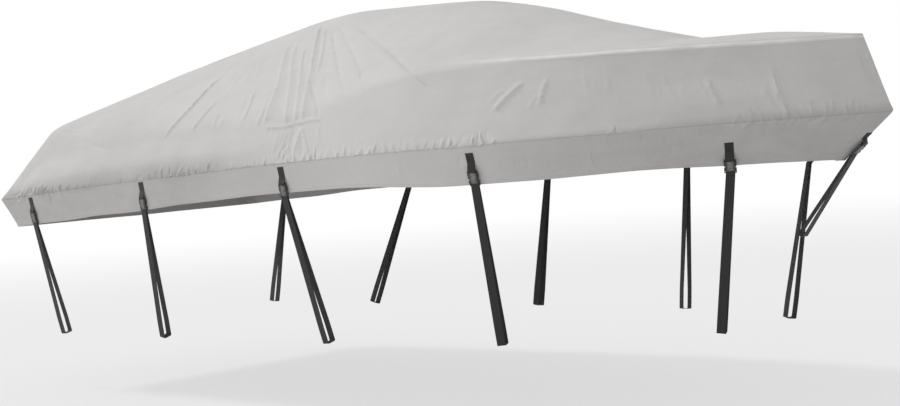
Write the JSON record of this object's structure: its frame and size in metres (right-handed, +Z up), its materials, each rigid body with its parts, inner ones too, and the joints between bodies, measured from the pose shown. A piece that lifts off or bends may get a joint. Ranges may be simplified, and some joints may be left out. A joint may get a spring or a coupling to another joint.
{
  "type": "boat cover",
  "caption": "Fitted cover for a V-hull boat: tented pale cloth top falling to the bow, darker skirt below the gunwale seam, black webbing ties with side-release buckles.",
  "frame": {"origin": "underside of the crown on the centre seam, where the boat or its support pole holds the cover up", "axes": "+X forward to the bow, +Y to port, +Z up"},
  "size_m": [6.565, 2.4684, 2.0491],
  "materials": {
    "panel_cloth": "matte coated weave",
    "skirt_cloth": "matte coated weave, a tone darker",
    "webbing": "woven, matte",
    "buckle": "moulded, low sheen"
  },
  "bodies": {
    "root": {"panel_starboard": "panel_cloth", "panel_port": "panel_cloth", "skirt_starboard": "skirt_cloth", "skirt_port": "skirt_cloth", "tab_starboard_1": "webbing", "loop_starboard_1": "webbing", "socket_starboard_1": "buckle", "clip_starboard_1": "buckle", "tab_starboard_2": "webbing", "loop_starboard_2": "webbing", "socket_starboard_2": "buckle", "clip_starboard_2": "buckle", "tab_starboard_3": "webbing", "loop_starboard_3": "webbing", "socket_starboard_3": "buckle", "clip_starboard_3": "buckle", "tab_starboard_4": "webbing", "loop_starboard_4": "webbing", "socket_starboard_4": "buckle", "clip_starboard_4": "buckle", "tab_starboard_5": "webbing", "loop_starboard_5": "webbing", "socket_starboard_5": "buckle", "clip_starboard_5": "buckle", "tab_port_1": "webbing", "loop_port_1": "webbing", "socket_port_1": "buckle", "clip_port_1": "buckle", "tab_port_2": "webbing", "loop_port_2": "webbing", "socket_port_2": "buckle", "clip_port_2": "buckle", "tab_port_3": "webbing", "loop_port_3": "webbing", "socket_port_3": "buckle", "clip_port_3": "buckle", "tab_port_4": "webbing", "loop_port_4": "webbing", "socket_port_4": "buckle", "clip_port_4": "buckle", "tab_port_5": "webbing", "loop_port_5": "webbing", "socket_port_5": "buckle", "clip_port_5": "buckle", "tab_bow": "webbing", "loop_bow": "webbing", "socket_bow": "buckle", "clip_bow": "buckle"}
  },
  "joints": []
}
